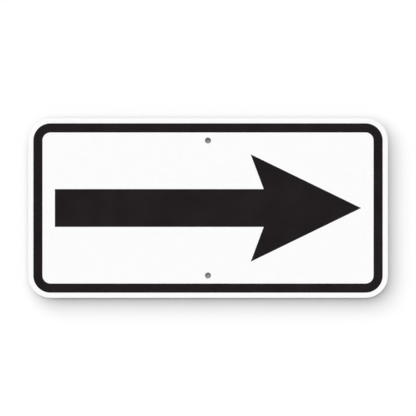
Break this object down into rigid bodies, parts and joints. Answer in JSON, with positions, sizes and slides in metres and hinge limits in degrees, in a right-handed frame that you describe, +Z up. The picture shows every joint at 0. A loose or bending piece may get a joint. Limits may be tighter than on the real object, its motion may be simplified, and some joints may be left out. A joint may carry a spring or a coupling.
{
  "type": "route marker plaque",
  "caption": "Flat rectangular road sign panel with rounded corners, a black border and a plain direction arrow, drilled on its centre line to be bolted to a post.",
  "frame": {"origin": "midway between the two bolt holes, on the back face of the blank, where it meets the post", "axes": "+Z up the sign, +X to the right of someone reading it, +Y out of the back towards the post; the printed face looks along -Y"},
  "size_m": [0.6096, 0.0025, 0.3048],
  "materials": {
    "aluminium_sheet": "mill finish with deburred edges",
    "white_sheeting": "smooth glossy retroreflective sheeting with a faint cell pattern",
    "black_film": "semi-gloss opaque film"
  },
  "bodies": {
    "root": {"sign_blank": "aluminium_sheet", "white_sheeting": "white_sheeting", "black_border": "black_film", "direction_arrow": "black_film"}
  },
  "joints": []
}
